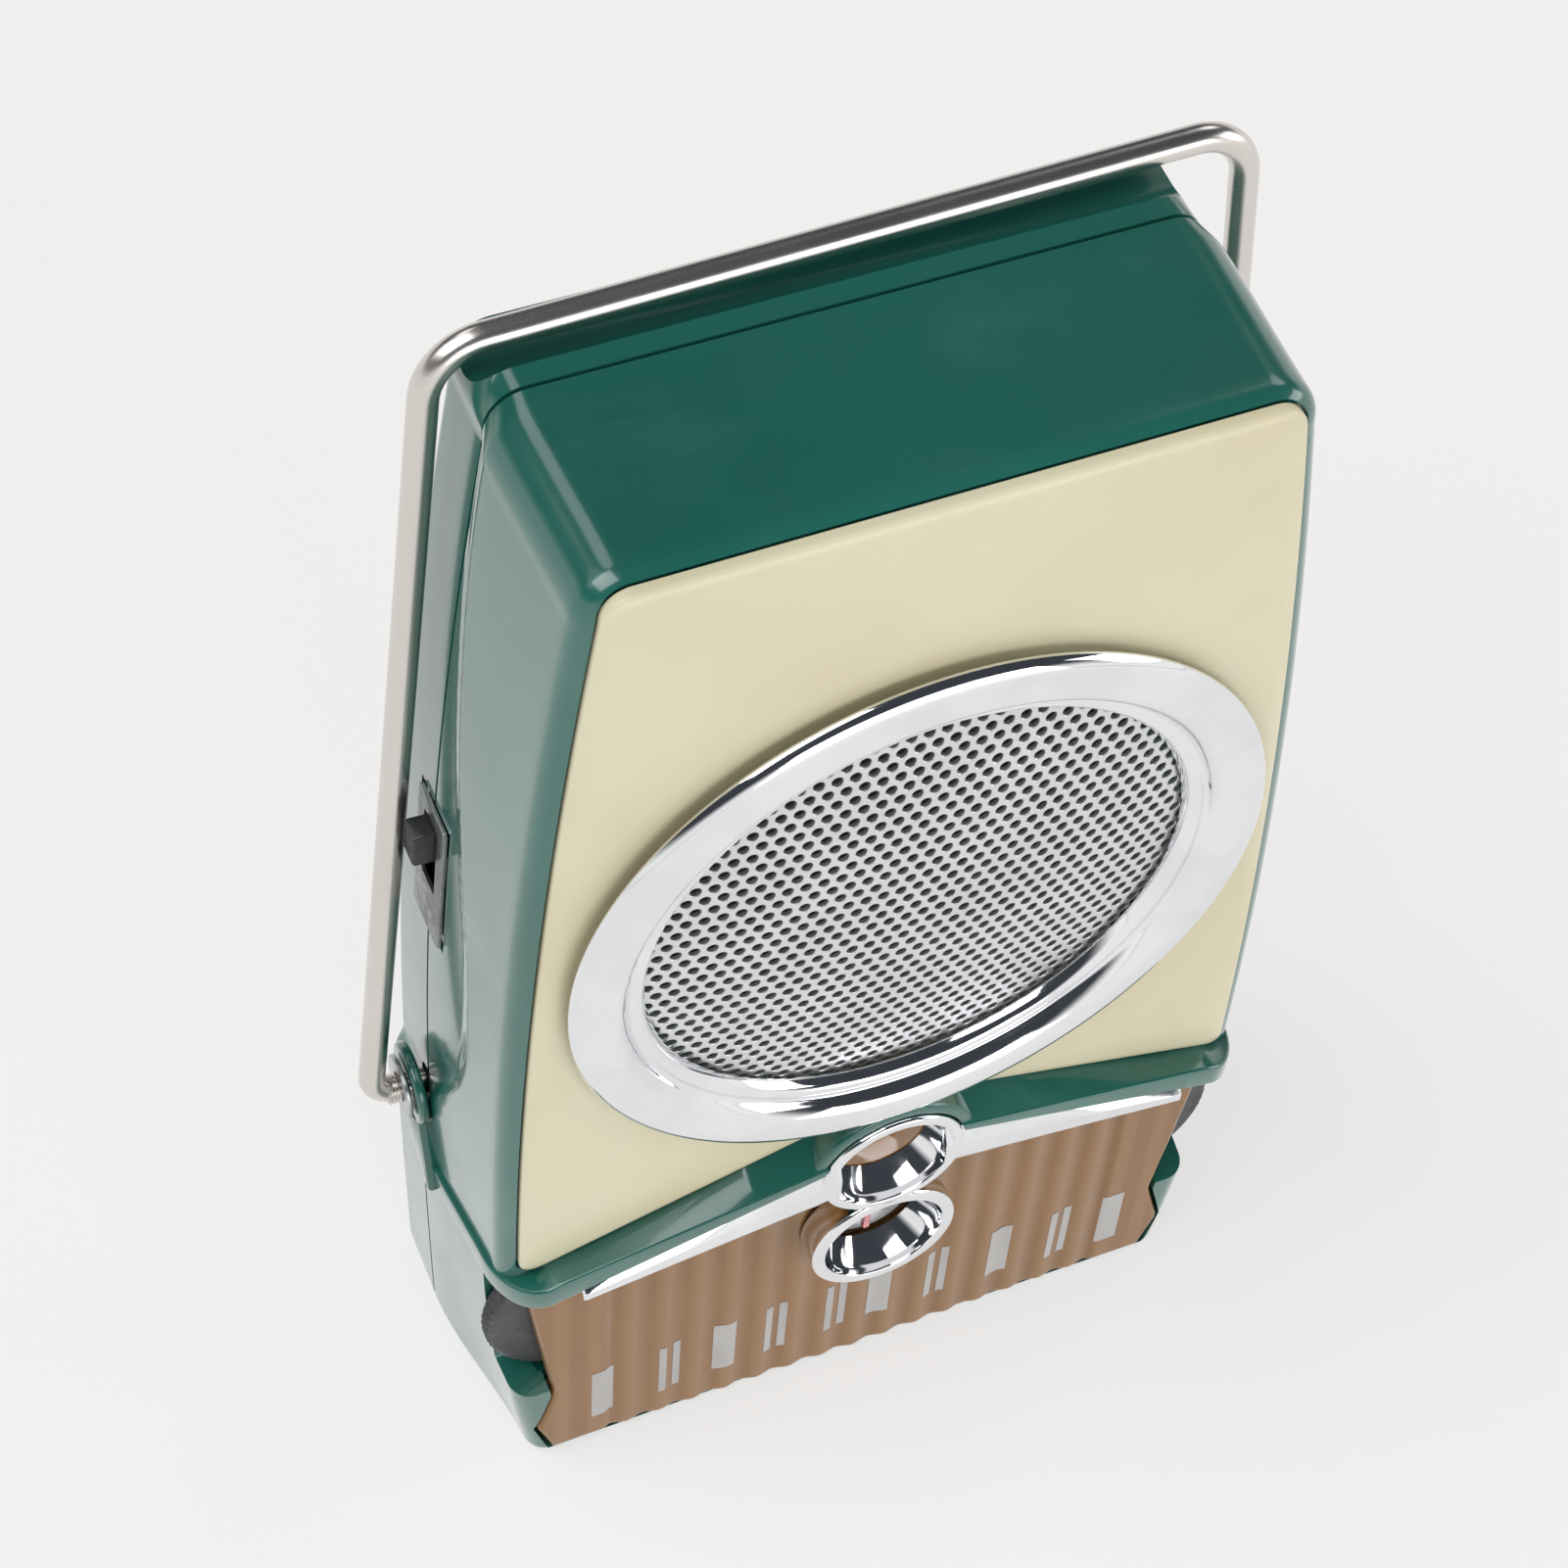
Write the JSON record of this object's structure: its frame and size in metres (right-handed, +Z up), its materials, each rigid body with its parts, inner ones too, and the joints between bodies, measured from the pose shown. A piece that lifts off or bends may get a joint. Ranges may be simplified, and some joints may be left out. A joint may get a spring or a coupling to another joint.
{
  "type": "transistor pocket radio",
  "caption": "Green and cream pocket radio with a chrome-ringed round speaker grille, fluted tuner window with edge thumbwheels, side slide switch and a swinging wire handle.",
  "frame": {"origin": "centre of the bounding box in plan, at the flat tuner end the radio stands on", "axes": "+Z up, from the tuner end to the speaker end; the cream face looks along -Y; +X is to the right seen from the front, and the slide switch is on the -X side"},
  "size_m": [0.0931, 0.0348, 0.1428],
  "materials": {
    "case_green": "moulded gloss, lightly scuffed",
    "cream_panel": "satin moulded",
    "chrome_trim": "bright plated",
    "handle_wire": "nickel plated, worn",
    "grille_metal": "fine round perforation, satin",
    "lens_amber": "fluted, amber over brown",
    "lens_backing": "printed bars",
    "wheel_dark": "knurled rim",
    "black_plastic": "moulded",
    "switch_grey": "satin",
    "dial_grey": "satin",
    "pointer_red": "gloss",
    "board_tan": "phenolic",
    "steel": "plain",
    "copper": "enamelled wire",
    "cone_paper": "pressed paper",
    "ferrite": "sintered",
    "capacitor_blue": "sleeved",
    "resistor_yellow": "dipped",
    "battery_can": "printed wrap, plain",
    "door_green": "moulded gloss"
  },
  "bodies": {
    "case": {"front_shell": "case_green", "rear_shell": "case_green", "front_panel": "cream_panel", "speaker_trim_ring": "chrome_trim", "speaker_grille": "grille_metal", "wing_trim": "chrome_trim", "tuner_lens": "lens_amber", "dial_plate": "lens_backing", "dial_cord": "black_plastic", "switch_plate": "switch_grey", "switch_housing": "black_plastic", "speaker_frame": "steel", "speaker_cone": "cone_paper", "speaker_magnet": "steel", "circuit_board": "board_tan", "tuning_capacitor": "cream_panel", "volume_control": "steel", "ferrite_rod": "ferrite", "antenna_coil": "copper", "rod_clip_left": "black_plastic", "rod_clip_right": "black_plastic", "case_screw_left": "steel", "case_screw_right": "steel", "board_screw_left": "steel", "board_screw_right": "steel", "if_can_1": "steel", "if_can_2": "steel", "if_can_3": "steel", "audio_transformer_1": "cone_paper", "audio_transformer_2": "cone_paper", "transistor_1": "steel", "transistor_2": "steel", "transistor_3": "steel", "transistor_4": "steel", "transistor_5": "steel", "transistor_6": "steel", "electrolytic_1": "capacitor_blue", "electrolytic_2": "capacitor_blue", "electrolytic_3": "capacitor_blue", "electrolytic_4": "capacitor_blue", "resistor_1": "resistor_yellow", "resistor_2": "resistor_yellow", "resistor_3": "resistor_yellow", "resistor_4": "resistor_yellow", "battery": "battery_can", "battery_snap": "black_plastic", "battery_lead_red": "pointer_red", "battery_lead_black": "black_plastic"},
    "handle": {"handle": "handle_wire", "handle_washer_left": "steel", "handle_washer_right": "steel"},
    "volume_wheel": {"volume_wheel": "wheel_dark"},
    "tuning_wheel": {"tuning_wheel": "wheel_dark"},
    "dial": {"dial_disc": "dial_grey", "dial_pointer": "pointer_red"},
    "switch_knob": {"switch_knob": "black_plastic"},
    "battery_door": {"battery_door": "door_green"}
  },
  "joints": [
    {"name": "handle_swing", "type": "hinge", "parent": "case", "child": "handle", "pos_m": [0, 0.0087, 0.0447], "axis": [-1, 0, 0], "range_deg": [0, 155]},
    {"name": "volume_turn", "type": "hinge", "parent": "case", "child": "volume_wheel", "pos_m": [-0.029, 0, 0.0257], "axis": [0, 1, 0], "range_deg": [0, 270]},
    {"name": "tuning_turn", "type": "hinge", "parent": "case", "child": "tuning_wheel", "pos_m": [0.029, 0, 0.0257], "axis": [0, 1, 0], "range_deg": [0, 180]},
    {"name": "dial_turn", "type": "hinge", "parent": "case", "child": "dial", "pos_m": [0, 0, 0.0302], "axis": [0, 1, 0], "range_deg": [0, 180]},
    {"name": "switch_slide", "type": "slide", "parent": "case", "child": "switch_knob", "axis": [0.0678, 0, 0.9977], "range_m": [-0.004, 0]},
    {"name": "battery_door_slide", "type": "slide", "parent": "case", "child": "battery_door", "axis": [0, 1, 0], "range_m": [0, 0.025]}
  ],
  "couplings": [
    {"joint": "dial_turn", "follows": "tuning_turn", "ratio": 1}
  ]
}
